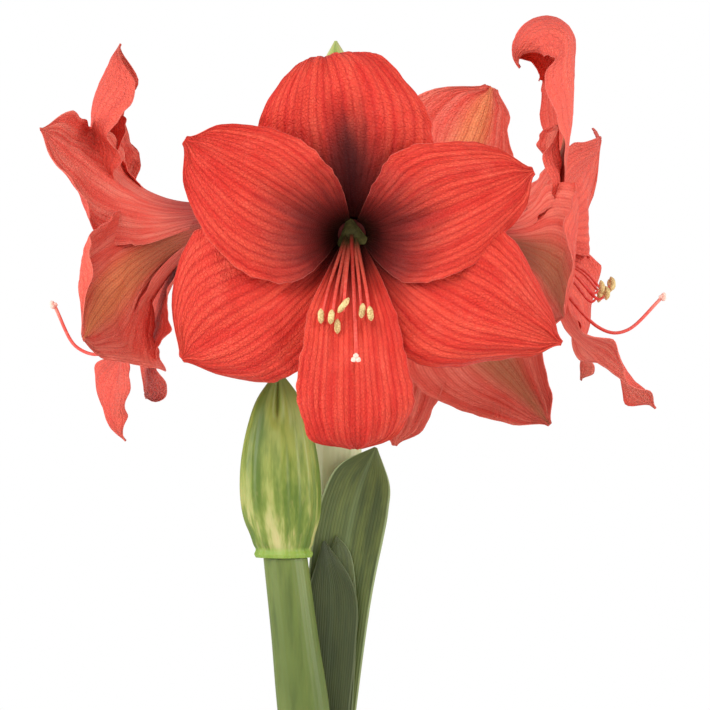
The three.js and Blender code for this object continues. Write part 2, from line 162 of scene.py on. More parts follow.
class Shape:
    """One piece's closed bodies, gathered in millimetres, with values on each vertex"""

    def __init__(self):
        self.points, self.faces, self.slots, self.values = [], [], [], {}
        self.size = 0

    def tube(self, rings, slot=0, **values):
        """Adds a closed body from rows of rings, each with the same even number of points"""
        rows, count = rings.shape[:2]
        index = np.arange(rows * count).reshape(rows, count)
        after = np.roll(index, -1, axis=1)
        sides = np.stack([index[:-1], after[:-1], after[1:], index[1:]], -1).reshape(-1, 4)
        near = np.arange(count // 2 - 1)
        far = count - 1 - near
        first = np.stack([index[0, near], index[0, far], index[0, far - 1], index[0, near + 1]], -1)
        last = np.stack([index[-1, near], index[-1, near + 1], index[-1, far - 1], index[-1, far]], -1)
        faces = np.concatenate([sides, first, last])
        points = rings.reshape(-1, 3)
        a, b, c, d = (points[faces[:, k]] for k in range(4))
        if np.einsum("ij,ij->", a - points[0], np.cross(b - a, d - a) + np.cross(c - b, d - b)) < 0:
            faces = faces[:, ::-1]
        self.points.append(points)
        self.faces.append(faces + self.size)
        self.slots.append(np.full(len(faces), slot))
        for name, value in values.items():
            spread = np.broadcast_to(value, (rows, count, 3))
            self.values.setdefault(name, []).append(spread.reshape(-1, 3))
        self.size += len(points)

    def blade(self, surface, thickness, **values):
        """Adds a thin closed sheet round a grid of points. A value function is given the side,
        which is 0 on the front and 1 on the back"""
        rows = unit(np.gradient(surface, axis=0) + 1e-9)
        columns = unit(np.gradient(surface, axis=1) + 1e-9)
        offset = unit(np.cross(rows, columns)) * np.asarray(thickness)[..., None] / 2
        rings = np.concatenate([surface + offset, (surface - offset)[:, ::-1]], 1)
        sided = {k: np.concatenate([f(0), f(1)[:, ::-1]], 1) for k, f in values.items()}
        self.tube(rings, **sided)

    def rod(self, way, widths, sides, steps, depths=None, level=False, slot=0, relief=None, **values):
        """Adds a rod along points, with its half width along its length, and its half depth where
        that differs"""
        depths = widths if depths is None else depths
        t = np.linspace(0, 1, steps + 1)
        centre = along(way, t)
        tangent = unit(along(way, np.minimum(t + 0.01, 1)) - along(way, np.maximum(t - 0.01, 0)))
        if level:
            tangent = np.tile([0.0, 0.0, 1.0], (len(t), 1))
        steep = np.abs(tangent[:, 1:2]) > 0.9
        side = unit(np.cross(np.where(steep, [0.0, 0.0, -1.0], [0.0, 1.0, 0.0]), tangent))
        deep = np.cross(tangent, side)
        turn = turns(sides)
        grow = np.ones((len(t), sides)) if relief is None else relief(t[:, None], turn[None, :])
        across = side[:, None] * (through(widths, t)[:, None] * grow * np.cos(turn))[..., None]
        inward = deep[:, None] * (through(depths, t)[:, None] * grow * np.sin(turn))[..., None]
        given = {k: f(t[:, None], turn[None, :]) for k, f in values.items()}
        self.tube(centre[:, None] + across + inward, slot, **given)

    def turned(self, profile, sides, slot=0, relief=None, **values):
        """Adds a solid of revolution about +Z from (radius, height) pairs, none on the axis"""
        outline = np.asarray(profile, float)
        turn = turns(sides)
        radius = outline[:, :1] + (0 if relief is None else relief(outline, turn))
        self.tube(around(radius, turn, outline[:, 1:]), slot, **values)

    def place(self, matrix, origin):
        """Turns and moves the bodies"""
        self.points = [points @ matrix + origin for points in self.points]

    def piece(self, name, paints, nodes, sharp=40):
        """Makes the finished piece, which stands for CAD nodes"""
        mesh = bpy.data.meshes.new(name)
        points = np.concatenate(self.points) * MM
        mesh.from_pydata(points.tolist(), [], np.concatenate(self.faces).tolist())
        for key, parts in self.values.items():
            layer = mesh.attributes.new(key, "FLOAT_VECTOR", "POINT")
            layer.data.foreach_set("vector", np.concatenate(parts).astype(np.float32).ravel())
        for paint in paints:
            mesh.materials.append(paint)
        mesh.polygons.foreach_set("material_index", np.concatenate(self.slots).astype(np.int32))
        mesh.polygons.foreach_set("use_smooth", np.ones(len(mesh.polygons), bool))
        mesh.set_sharp_from_angle(angle=math.radians(sharp))
        mesh.update()
        made = add(name, mesh)
        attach(made, BODY)
        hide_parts(*nodes)


# Materials


def linear(colour):
    """A colour given as it looks on screen, from 0 to 255, as the linear values that a shader takes"""
    values = [c / 255 for c in colour]
    return (*[c / 12.92 if c <= 0.04045 else ((c + 0.055) / 1.055) ** 2.4 for c in values], 1.0)


class Paint:
    """A procedural material, built node by node"""

    def __init__(self, name, roughness, specular=0.4, soft=0.0, depth=0.05):
        self.material = bpy.data.materials.new(name)
        self.material.use_nodes = True
        self.tree = self.material.node_tree
        self.shader = self.tree.nodes["Principled BSDF"]
        keys = ("Roughness", "Specular IOR Level", "Subsurface Weight", "Subsurface Scale")
        for key, value in zip(keys, (roughness, specular, soft, depth)):
            self.shader.inputs[key].default_value = value

    def put(self, value, socket):
        """Links an output to a socket, or sets a plain value on it"""
        if isinstance(value, bpy.types.NodeSocket):
            self.tree.links.new(value, socket)
        else:
            socket.default_value = value

    def node(self, kind, inputs, **settings):
        """A node with its settings and inputs"""
        node = self.tree.nodes.new(kind)
        for key, value in settings.items():
            setattr(node, key, value)
        for key, value in inputs.items():
            self.put(value, node.inputs[key])
        return node

    def math(self, operation, *values):
        return self.node("ShaderNodeMath", dict(enumerate(values)), operation=operation).outputs[0]

    def times(self, *values):
        result = values[0]
        for value in values[1:]:
            result = self.math("MULTIPLY", result, value)
        return result

    def plus(self, *values):
        result = values[0]
        for value in values[1:]:
            result = self.math("ADD", result, value)
        return result

    def step(self, value, low, high, start=0.0, end=1.0):
        """start below low, end above high, and an S curve between them"""
        inputs = {"Value": value, "From Min": low, "From Max": high, "To Min": start, "To Max": end}
        return self.node("ShaderNodeMapRange", inputs, interpolation_type="SMOOTHSTEP").outputs[0]

    def mix(self, factor, a, b):
        """Colour a where factor is 0, and b where it is 1, each an output or a colour on screen"""
        node = self.node("ShaderNodeMix", {0: factor}, data_type="RGBA")
        for colour, socket in ((a, node.inputs[6]), (b, node.inputs[7])):
            self.put(linear(colour) if isinstance(colour, tuple) else colour, socket)
        return node.outputs[2]

    def layers(self, colour, *coats):
        """A colour with others laid over it, each given as how much of it shows and its colour"""
        for share, coat in coats:
            colour = self.mix(share, colour, coat)
        return colour

    def values(self, name):
        """The three values that the mesh holds under a name"""
        vector = self.node("ShaderNodeAttribute", {}, attribute_name=name).outputs["Vector"]
        return self.split(vector)

    def split(self, vector):
        return list(self.node("ShaderNodeSeparateXYZ", {0: vector}).outputs)

    def vector(self, x, y, z=0.0):
        return self.node("ShaderNodeCombineXYZ", {0: x, 1: y, 2: z}).outputs[0]

    def place(self, x=1.0, y=1.0, z=1.0):
        """The point on the object in metres, stretched along each axis"""
        point = self.node("ShaderNodeTexCoord", {}).outputs["Object"]
        inputs = {0: point, 1: (x, y, z)}
        return self.node("ShaderNodeVectorMath", inputs, operation="MULTIPLY").outputs[0]

    def noise(self, vector, scale, detail=3.0, roughness=0.55):
        inputs = {"Vector": vector, "Scale": scale, "Detail": detail, "Roughness": roughness}
        return self.node("ShaderNodeTexNoise", inputs).outputs[0]

    def cells(self, vector, scale):
        """The distance to the nearest edge of a net of cells"""
        inputs = {"Vector": vector, "Scale": scale}
        return self.node("ShaderNodeTexVoronoi", inputs, feature="DISTANCE_TO_EDGE").outputs["Distance"]

    def lines(self, value, count, width):
        """1 on count thin lines for each unit of value, and 0 between them"""
        saw = self.math("PINGPONG", self.times(value, count), 0.5)
        return self.step(saw, 0.0, width, 1.0, 0.0)

    def relief(self, height, depth, strength=1.0):
        inputs = {"Strength": strength, "Distance": depth, "Height": height}
        bump = self.node("ShaderNodeBump", inputs)
        self.tree.links.new(bump.outputs[0], self.shader.inputs["Normal"])

    def colour(self, *layers):
        """Gives the shader its layers of colour, and returns the material"""
        self.tree.links.new(self.layers(*layers), self.shader.inputs["Base Color"])
        return self.material


def tepal_paint():
    """Coral red with darker veins, a maroon throat deepened by painted shade, and a tan or golden band on
    some backs
    """
    paint = Paint("tepal", 0.56, 0.2, soft=0.1, depth=0.002)
    u, v, back = paint.values("tepal")
    seed, gold, stain = paint.values("tepal_kind")
    near = paint.math("ABSOLUTE", v)
    skin = paint.vector(paint.times(u, 0.14), paint.times(v, 0.05), paint.times(seed, 0.4))
    drift = paint.noise(skin, 22.0, 2.0)
    cloud = paint.noise(skin, 60.0)
    fringe = paint.noise(paint.vector(paint.times(u, 0.02), paint.times(v, 0.05), seed), 160.0)
    # Long lighter streaks: painted highlight where light would catch folds along the tepal
    fold_light_noise = paint.noise(paint.vector(paint.times(u, 0.03), paint.times(v, 0.07), seed), 90.0, 2.0)
    fold = paint.step(fold_light_noise, 0.35, 0.65)
    sway = paint.times(paint.plus(drift, -0.5), 0.1)
    lane = paint.plus(v, sway, paint.times(paint.plus(cloud, -0.5), 0.02))
    vein = paint.lines(lane, 10.0, 0.3)
    small_vein = paint.lines(lane, 30.0, 0.45)
    veins = paint.plus(vein, small_vein)
    # A net of small cells, darker along its edges: painted shade in the grooves between the blisters,
    # which the relief also sinks
    puckered = paint.step(paint.plus(u, paint.times(drift, 0.3)), 0.5, 0.95, 0.35, 1.0)
    net = paint.times(paint.step(paint.cells(skin, 520.0), 0.0, 0.24, 1.0, 0.0), puckered)
    shift = paint.step(stain, 0.0, 0.6, 0.0, -0.18)
    reach = paint.plus(u, paint.times(paint.plus(fringe, -0.5), 0.2), paint.times(near, 0.06), shift)
    narrow = paint.step(paint.math("ABSOLUTE", paint.plus(v, 0.14)), 0.0, 0.3, 1.0, 0.0)
    streak = paint.times(paint.step(stain, 0.6, 1.0), narrow, paint.step(reach, 0.34, 0.66, 1.0, 0.0))

    # Only the front bloom's seeds are below 1.6, so the other blooms are a little paler: painted light, as
    # their tepals turn away from the lamps
    side_bloom_painted_light = paint.step(seed, 1.6, 1.9, 0.0, 0.3)
    front = paint.layers(
        (214, 54, 40),
        # painted highlight on the folds
        (fold, (232, 82, 60)),
        (paint.step(cloud, 0.5, 0.7, 0.0, 0.35), (242, 104, 82)),
        # painted shade in the grooves of the net
        (paint.times(net, 0.38), (196, 34, 32)),
        (paint.times(small_vein, 0.16), (190, 34, 32)),
        (paint.times(vein, 0.55), (180, 30, 28)),
        (side_bloom_painted_light, (250, 132, 114)),
        # the throat's maroon: partly the flower's own colour, partly painted shade deep in the throat
        (paint.step(reach, 0.26, 0.58, 0.92, 0.0), (104, 28, 26)),
        (paint.step(reach, 0.06, 0.36, 0.95, 0.0), (66, 22, 20)),
        (paint.times(streak, 0.9), (66, 14, 16)),
    )
    golden = paint.layers(
        (190, 126, 90),
        (paint.step(gold, 0.45, 0.8), (246, 152, 98)),
        (paint.step(u, 0.3, 0.62, 0.8, 0.0), (112, 66, 46)),
        (paint.times(veins, 0.3), (176, 72, 48)),
    )
    band = paint.step(paint.plus(near, paint.times(u, 0.34)), 0.3, 0.66, 1.0, 0.0)
    band = paint.times(band, paint.step(gold, 0.0, 0.35), paint.step(u, 0.1, 0.3))
    reverse = paint.layers(
        (236, 94, 78),
        # painted highlight on the folds
        (fold, (248, 132, 112)),
        (paint.times(net, 0.16), (214, 66, 58)),
        (paint.times(veins, 0.26), (204, 58, 52)),
        (paint.step(reach, 0.14, 0.46, 0.75, 0.0), (132, 50, 52)),
        (paint.times(band, 0.85), golden),
    )

    blister = paint.plus(paint.times(net, -0.8), paint.times(vein, -0.5), paint.times(cloud, 0.8))
    paint.relief(blister, 0.0006, 0.8)
    # A paler pink line along each edge: a painted highlight where the thin edge catches the light
    edge_highlight = paint.step(near, 0.985, 0.998, 0.0, 0.25)
    return paint.colour(front, (back, reverse), (edge_highlight, (246, 140, 124)))


def stem_paint(name, light, mid, dark):
    """A smooth stalk or ovary with long soft streaks"""
    paint = Paint(name, 0.42, soft=0.08, depth=0.003)
    streaks = paint.noise(paint.place(z=0.12), 180.0, 4.0)
    cloud = paint.noise(paint.place(z=0.5), 26.0, 2.0)
    fine = paint.noise(paint.place(z=0.06), 900.0, 2.0)
    paint.relief(paint.plus(streaks, paint.times(fine, 0.3)), 0.0004, 0.4)
    return paint.colour(
        mid,
        (paint.step(cloud, 0.35, 0.68), light),
        (paint.step(streaks, 0.5, 0.72, 0.0, 0.6), dark),
        (paint.step(streaks, 0.28, 0.46, 0.4, 0.0), light),
    )


def leaf_paint():
    """Deep green with parallel veins, a paler midrib and a painted highlight along its edges, darkened by
    shade
    """
    paint = Paint("leaf", 0.4, 0.45, soft=0.05, depth=0.002)
    u, v, shade = paint.values("leaf")
    near = paint.math("ABSOLUTE", v)
    streaks = paint.noise(paint.vector(paint.times(v, 0.017), paint.times(u, 0.02), shade), 240.0, 4.0)
    cloud = paint.noise(paint.place(z=0.4), 30.0, 2.0)
    vein = paint.lines(paint.plus(v, paint.times(cloud, 0.02)), 11.0, 0.3)
    paint.relief(paint.plus(paint.times(vein, -0.6), paint.times(streaks, 0.5)), 0.0003, 0.5)
    return paint.colour(
        (68, 80, 32),
        (paint.step(streaks, 0.36, 0.66), (98, 108, 46)),
        (paint.step(cloud, 0.4, 0.7, 0.0, 0.5), (110, 124, 72)),
        (paint.times(vein, 0.2), (52, 72, 38)),
        (paint.step(near, 0.02, 0.14, 0.3, 0.0), (122, 140, 96)),
        (paint.step(u, 0.0, 0.3, 0.5, 0.0), (136, 148, 78)),
        # painted highlight along the edges
        (paint.step(near, 0.93, 0.97, 0.0, 0.85), (158, 172, 122)),
        (paint.times(shade, 0.75), (40, 48, 16)),
    )


def bud_paint():
    """The closed bud's sheath: green, with cream stripes that widen downwards and a green rim"""
    paint = Paint("closed_bud", 0.42, soft=0.1, depth=0.003)
    t, turn, _ = paint.values("bud")
    skin = paint.vector(paint.times(turn, 0.09), paint.times(t, 0.014))
    stripes = paint.noise(skin, 130.0, 4.0, 0.6)
    fine = paint.noise(skin, 620.0)
    low = paint.step(t, 0.12, 0.62, 1.0, 0.1)
    cream = paint.times(low, paint.step(stripes, 0.47, 0.66))
    paint.relief(paint.plus(stripes, paint.times(fine, 0.3)), 0.0006, 0.4)
    return paint.colour(
        (84, 108, 28),
        (paint.step(stripes, 0.36, 0.62), (140, 152, 66)),
        (paint.times(cream, 0.95), (188, 180, 122)),
        (paint.times(low, paint.step(fine, 0.55, 0.75), 0.4), (182, 160, 108)),
        (paint.step(fine, 0.25, 0.45, 0.3, 0.0), (84, 104, 38)),
        (paint.step(t, 0.8, 0.97, 0.0, 0.7), (84, 98, 44)),
        (paint.step(t, 0.035, 0.075, 0.8, 0.0), (128, 158, 58)),
    )


def small_bud_paint():
    """The young bud: yellow-green, with pale flanks"""
    paint = Paint("small_bud", 0.4, soft=0.1, depth=0.003)
    t, turn, _ = paint.values("bud")
    skin = paint.vector(paint.times(turn, 0.05), paint.times(t, 0.012))
    stripes = paint.noise(skin, 260.0, 4.0, 0.6)
    flank = paint.step(paint.math("PINGPONG", paint.plus(turn, 0.1), 0.167), 0.02, 0.09, 0.7, 0.0)
    paint.relief(stripes, 0.0005, 0.4)
    return paint.colour(
        (128, 152, 66),
        (paint.step(stripes, 0.35, 0.65), (186, 196, 116)),
        (flank, (222, 216, 156)),
        (paint.step(t, 0.86, 1.0, 0.0, 0.6), (150, 160, 96)),
    )


def filament_paint(name, foot, low, high, tip):
    """A filament or style whose colour changes along its length"""
    paint = Paint(name, 0.4, soft=0.15, depth=0.001)
    t, _, _ = paint.values("thread")
    mottle = paint.noise(paint.place(), 700.0, 2.0)
    paint.relief(mottle, 0.0002, 0.4)
    return paint.colour(
        foot,
        (paint.step(t, 0.02, 0.2), low),
        (paint.step(t, 0.3, 0.8), high),
        (paint.step(t, 0.9, 1.0), tip),
        (paint.step(mottle, 0.4, 0.7, 0.0, 0.25), (250, 150, 130)),
    )


def grain_paint(name, light, dark, size, depth, roughness=0.85):
    """A grainy surface, such as pollen, a root or soil"""
    paint = Paint(name, roughness, 0.25)
    grain = paint.noise(paint.place(), 1.0 / size, 4.0, 0.65)
    cloud = paint.noise(paint.place(), 0.2 / size)
    tone = paint.plus(paint.times(grain, 0.6), paint.times(cloud, 0.4))
    paint.relief(grain, depth, 0.8)
    return paint.colour(dark, (paint.step(tone, 0.36, 0.62), light))


def tunic_paint():
    """The bulb's papery brown skin, with long dark veins and paler worn patches"""
    paint = Paint("bulb_tunic", 0.55, 0.35)
    x, y, z = paint.split(paint.place())
    skin = paint.vector(paint.times(paint.math("ARCTAN2", y, x), 0.05), 0.0, paint.times(z, 0.1))
    streaks = paint.noise(skin, 420.0, 4.0, 0.65)
    patches = paint.noise(paint.place(z=0.5), 42.0, 4.0)
    paint.relief(paint.plus(streaks, paint.times(patches, 0.5)), 0.0008, 0.6)
    return paint.colour(
        (112, 66, 34),
        (paint.step(streaks, 0.38, 0.64), (166, 112, 62)),
        (paint.step(patches, 0.5, 0.7, 0.0, 0.7), (196, 152, 100)),
        (paint.step(patches, 0.28, 0.42, 0.6, 0.0), (82, 46, 26)),
        (paint.step(z, 0.128, 0.156, 0.0, 0.75), (176, 168, 108)),
    )


def clay_paint():
    """Fired clay, with turning marks, pores and a pale mineral bloom near the rim"""
    paint = Paint("clay_pot", 0.82, 0.25)
    rings = paint.noise(paint.place(0.05, 0.05), 420.0)
    pores = paint.noise(paint.place(), 900.0, 3.0, 0.7)
    cloud = paint.noise(paint.place(z=1.6), 18.0, 5.0, 0.6)
    _, _, z = paint.split(paint.place())
    bloom = paint.times(paint.step(cloud, 0.48, 0.66), paint.step(z, 0.05, 0.13))
    paint.relief(paint.plus(paint.times(rings, 0.5), paint.times(pores, 0.4)), 0.0006, 0.5)
    return paint.colour(
        (178, 98, 66),
        (paint.step(cloud, 0.34, 0.66), (204, 130, 92)),
        (paint.step(rings, 0.5, 0.7, 0.0, 0.3), (160, 86, 58)),
        (paint.times(bloom, 0.5), (222, 190, 166)),
        (paint.step(pores, 0.62, 0.74, 0.0, 0.5), (136, 70, 48)),
    )


def bract_paint():
    """A withered sheath: papery tan, with parallel brown veins"""
    paint = Paint("withered_bract", 0.65, 0.3)
    u, v, _ = paint.values("leaf")
    streaks = paint.noise(paint.vector(paint.times(v, 0.008), paint.times(u, 0.01)), 500.0, 4.0)
    patches = paint.noise(paint.place(), 70.0)
    paint.relief(paint.plus(streaks, patches), 0.0006, 0.6)
    return paint.colour(
        (150, 118, 78),
        (paint.step(streaks, 0.38, 0.64), (206, 184, 144)),
        (paint.step(patches, 0.5, 0.7, 0.0, 0.5), (178, 140, 92)),
        (paint.times(paint.lines(v, 6.0, 0.25), 0.4), (120, 88, 56)),
    )


# The blooms. A tepal's angle round the axis is in degrees and its length in millimetres, and each of
# its lists runs from its foot to its tip. flare is its slope away from the axis, and left and right
# are how far each edge is turned from the midrib. wave, pillow, roll and twist lift its face, in
# millimetres: by so many waves along the edges, between midrib and edge, towards both edges, and up
# on one side but down on the other. gold is how golden its back is, and stain how dark its throat.

OUTER = dict(
    start=6.8,
    length=134,
    flare=[10, 18, 36, 62, 82, 98, 112],
    left=[57, 57, 57, 56, 48, 32, 3],
    right=[57, 57, 57, 56, 48, 32, 3],
    wave=4,
    waves=3,
    phase=0,
    pillow=2.5,
    roll=[-5, -5],
    twist=[0, 0],
    gold=0,
    stain=0,
)
INNER = dict(
    OUTER,
    start=5.9,
    length=132,
    flare=[8, 12, 26, 52, 76, 92, 104],
    left=[50, 50, 50, 48, 40, 25, 3],
    right=[50, 50, 50, 48, 40, 25, 3],
    roll=[-1, -1],
)


def outer(angle, **changes):
    return {**OUTER, "angle": angle, **changes}


def inner(angle, **changes):
    return {**INNER, "angle": angle, **changes}


SIDE_ANTHERS = [(-13, -30), (-9, -33), (-4, -28), (5, -32), (9, -30), (13, -27)]
FRONT_TEPALS = [
    outer(
        98, length=134, flare=[10, 16, 30, 50, 68, 78, 86, 140, 220],
        left=[57, 57, 57, 57, 54, 43, 30, 13, 4], right=[57, 57, 57, 57, 57, 50, 38, 21, 4],
        roll=[-5, -5, -5, -5, -5, -5, -4, 0, 0], wave=2, stain=1.0,
    ),
    outer(214, length=131, left=[57, 57, 55, 46, 37, 25, 4], right=[57, 57, 55, 54, 48, 36, 4]),
    outer(335, length=148, left=[57, 57, 57, 52, 40, 17, 2], right=[55, 55, 52, 46, 36, 15, 2]),
    inner(147, length=137, left=[58, 60, 66, 66, 48, 25, 5], right=[50, 50, 50, 46, 36, 20, 4], stain=0.6),
    inner(23, length=136, left=[50, 50, 50, 48, 42, 22, 4], right=[56, 60, 62, 58, 38, 19, 4], stain=0.6),
    inner(
        271, length=149, flare=[8, 13, 28, 54, 74, 94, 165], left=[50, 48, 42, 34, 26, 21, 9],
        right=[50, 48, 42, 36, 27, 20, 8],
    ),
]
LEFT_TEPALS = [
    inner(
        90, length=138, flare=[10, 18, 35, 66, 104, 122, 128], left=[57, 57, 57, 54, 46, 32, 3],
        right=[50, 50, 48, 46, 44, 32, 3], wave=5, waves=4, phase=-0.4, roll=[-10, -10],
    ),
    outer(
        242, length=116, flare=[10, 20, 42, 58, 64, 68, 72], left=[40, 40, 40, 44, 46, 42, 16],
        right=[57, 57, 57, 54, 50, 42, 14], twist=[0, 0, -2, -3, -3],
    ),
    outer(
        332, length=134, flare=[10, 16, 33, 53, 63, 68, 74], left=[57, 57, 57, 50, 38, 26, 4],
        right=[57, 57, 60, 62, 54, 26, 4], roll=[-5, -5, -7, -12, -16, -13, 0],
        twist=[0, 0, 0, 2, 5, 6, 0], gold=0.8,
    ),
    inner(122, length=110, flare=[8, 13, 30, 58, 80, 92, 98], roll=[-8, -8]),
    outer(
        46, length=122, flare=[8, 17, 37, 56, 62, 58, 52], left=[50, 50, 50, 48, 36, 13, 3],
        right=[54, 56, 58, 54, 42, 20, 3], roll=[-3, -3], twist=[0, -2, -5, -8, -8, -4],
    ),
    inner(
        270, length=140, flare=[8, 14, 26, 36, 43, 48, 53, 58, 64, 84, 125], wave=2, waves=4,
        twist=[0, 0, 0, -1, -1, -2, -2, -4, -13, -6, -6], left=[50, 49, 47, 44, 39, 33, 27, 24, 26, 9, 6],
        right=[50, 49, 47, 44, 39, 33, 27, 24, 26, 9, 6],
    ),
]
RIGHT_TEPALS = [
    outer(
        90, length=179, flare=[11, 16, 28, 50, 76, 86, 88, 96, 172, 236, 310],
        left=[57, 57, 57, 57, 56, 50, 42, 34, 28, 20, 8],
        right=[57, 57, 57, 57, 56, 50, 42, 34, 28, 20, 8], wave=3, waves=4, phase=0.8,
        roll=[-17, -17, -17, -17, -17, -16, -15, -15, -12, -12, -12], gold=0.8,
    ),
    outer(
        207, length=116, flare=[10, 17, 33, 53, 70, 78, 84, 88, 92],
        left=[50, 50, 50, 50, 46, 38, 26, 14, 3], right=[50, 50, 50, 56, 64, 56, 38, 20, 3],
        twist=[0, -4, -12, -12, -4], gold=0.45,
    ),
    outer(
        305, length=124, flare=[10, 16, 34, 54, 70, 82, 92], left=[57, 57, 57, 54, 48, 30, 3],
        right=[50, 50, 44, 30, 15, 7, 2], roll=[-5, -5, 0, 6, 8], twist=[0, 0, 2, 3, 0],
    ),
    inner(125, length=90, flare=[8, 13, 28, 50, 72, 84, 90], roll=[-4, -4]),
    inner(
        39, length=123, flare=[8, 13, 28, 50, 64, 70, 72], left=[50, 50, 50, 46, 34, 18, 4],
        right=[50, 50, 50, 54, 54, 40, 5], twist=[0, 0, -4, -8, -6, 3, 0],
    ),
    inner(
        270, length=139, flare=[8, 20, 46, 61, 42, 39, 43], wave=5, waves=4, twist=[-4, -4],
        left=[50, 48, 42, 34, 26, 16, 3], right=[50, 48, 42, 34, 26, 16, 3],
    ),
]
BACK_TEPALS = [
    outer(114, length=138, left=[57, 57, 57, 54, 33, 18, 8], right=[57, 57, 57, 57, 50, 38, 9], gold=1.0),
    outer(
        228, length=155, flare=[10, 16, 34, 62, 80, 88, 96], left=[57, 57, 57, 54, 42, 17, 2],
        right=[57, 57, 57, 54, 38, 14, 2], gold=0.4,
    ),
    outer(350),
    inner(172),
    inner(52),
    inner(278, length=144, right=[50, 50, 46, 38, 27, 16, 3]),
]
BLOOMS = [
    dict(
        name="front", base=(15.6, -42, 435.5), facing=(0, -1, -0.14), tepals=FRONT_TEPALS,
        anthers=[(-15, -34), (-10, -34), (-4, -28), (-7, -39), (5, -31), (9, -32)],
        style=[(1, -22, 62), (2, -46, 88), (2, -50, 104)],
    ),
    dict(
        name="left", base=(-42, 2, 447), facing=(-1, 0, -0.25), tepals=LEFT_TEPALS,
        anthers=SIDE_ANTHERS,
        style=[(1, -24, 60), (2, -52, 83), (2, -47, 100), (2, -23, 106)],
    ),
    dict(
        name="right", base=(66, 0, 436), facing=(1, 0, 0), tepals=RIGHT_TEPALS,
        anthers=[(-13, -29), (-9, -32), (-4, -27), (5, -33), (9, -31), (13, -28)],
        style=[(1, -26, 56), (2, -48, 77), (2, -50, 93), (2, -33, 111)],
    ),
    dict(
        name="back", base=(22, 62, 430), facing=(0.44, 0.88, -0.1), tepals=BACK_TEPALS,
        anthers=SIDE_ANTHERS,
        style=[(1, -22, 60), (2, -42, 86), (2, -40, 102)],
    ),
]

TEPAL_ROWS = 84
TEPAL_COLUMNS = 72
TEPAL_FOOT = 3
MIDLINE_STEPS = 60
NIBBLES = (5, 8, 13, 21)
FRILLS = (8, 13)
RIBS = 8

# The rings of a throat's star: radius, height, and how far its three lobes reach out
STAR_RINGS = [
    (2.2, 11, 0), (4.4, 12, 0.6), (5.2, 14.5, 3.4), (4.8, 14.8, 3.3), (4, 12.6, 0.5), (2.2, 11.6, 0),
]


def midline(tepal):
    """The radius and height of a tepal's middle at even steps from its foot to its tip"""
    middles = (np.arange(MIDLINE_STEPS) + 0.5) / MIDLINE_STEPS
    slope = np.radians(through(tepal["flare"], middles))
    step = tepal["length"] / MIDLINE_STEPS
    radius = tepal["start"] + step * np.concatenate([[0], np.cumsum(np.sin(slope))])
    return radius, TEPAL_FOOT + step * np.concatenate([[0], np.cumsum(np.cos(slope))])


def tepal_surface(tepal, seed):
    """A tepal in its bloom's frame, as rows of points, with the u and v of each"""
    draw = np.random.default_rng(seed)
    u, v = grid(TEPAL_ROWS, TEPAL_COLUMNS)
    v = np.sign(v) * np.abs(v) ** 0.9
    radius, height = midline(tepal)
    steps = np.linspace(0, 1, MIDLINE_STEPS + 1)
    r, z = np.interp(u, steps, radius), np.interp(u, steps, height)
    slope = np.radians(through(tepal["flare"], u))
    near = np.abs(v)
    point = 1 - 0.7 * smooth(u, 0.93, 1)
    edge = np.where(v < 0, through(tepal["right"], u), through(tepal["left"], u)) * point
    phases = draw.uniform(0, TURN, 4)
    nibble = sum(np.sin(TURN * k * u + phase) for k, phase in zip(NIBBLES, phases))
    edge = edge * (1 + 0.008 * nibble * smooth(u, 0.35, 0.6) * near**4)
    turn = np.radians(tepal["angle"] + v * edge)

    opened = smooth(u, 0.35, 0.75) * (1 - smooth(u, 0.9, 1))
    ripple = np.sin(TURN * tepal["waves"] * u + tepal["phase"] + np.where(v < 0, 2, 0))
    hump = 4 * near * (1 - near) * (1 - smooth(u, 0.8, 1))
    bend = tepal["wave"] * near**2 * ripple + tepal["pillow"] * hump
    bend += through(tepal["roll"], u) * near**3 + through(tepal["twist"], u) * v

    free = smooth(u, 0.3, 0.6) * (1 - 0.6 * smooth(u, 0.9, 1))
    side = np.where(v < 0, 1.3, 0)
    wide, small = (np.sin(TURN * k * u + phase + side) for k, phase in zip(FRILLS, phases))
    frill = wide + 0.6 * small
    fine = 0.75 * frill * near**5
    fine += 0.16 * np.cos(TURN * RIBS * v)
    fine += 0.5 * np.cos(TURN * (RIBS / 2) * v) * smooth(u, 0.55, 0.85) * (1 - near)
    fine -= 0.9 * bell(v, 0, 0.06) * smooth(u, 0.15, 0.4)
    skin = np.stack([u * 140, v * 45, np.full_like(u, 7.0 * seed)], -1)
    fine += 0.35 * lumps(skin, 16, seed)
    lift = opened * bend + free * fine
    return around(r - np.cos(slope) * lift, turn, z + np.sin(slope) * lift), u, v


def frame_of(bloom):
    """The rows right, up and out of a bloom's own frame, and where it starts"""
    out = unit(np.array(bloom["facing"], float))
    right = unit(np.cross([0, 0, 1], out))
    return np.stack([right, np.cross(out, right), out]), np.array(bloom["base"], float)


def tepals(bloom, paint, seed):
    """A bloom's tube and its six tepals"""
    shape = Shape()
    r = TUBE_RADIUS
    tube = [(r - 1.6, 0), (r + 0.4, 0), (r + 0.8, 6), (r + 1.2, TUBE_LENGTH)]
    tube += [(r - 1.2, TUBE_LENGTH), (r - 1.4, 6), (r - 1.6, 0.4)]
    shape.turned(tube, 48, tepal=(0.02, 0.5, 1.0), tepal_kind=(0.0, 0.2, 0.0))
    for k, tepal in enumerate(bloom["tepals"]):
        points, u, v = tepal_surface(tepal, seed + k)
        kind = (0.1 * (seed + k), tepal["gold"], tepal["stain"])
        shape.blade(
            points,
            0.8 - 0.4 * np.abs(v) ** 3,
            tepal=lambda side: np.stack([u, v, np.full_like(u, side)], -1),
            tepal_kind=lambda side: np.broadcast_to(kind, (*u.shape, 3)),
        )
    shape.place(*frame_of(bloom))
    shape.piece(f"{bloom['name']}_tepals", [paint], [f"bloom_{bloom['name']}"])


def thread(t, turn):
    """The values on a rod's vertices: how far along it is, and how far round"""
    return np.stack(np.broadcast_arrays(t, turn / TURN, 0.0), -1)


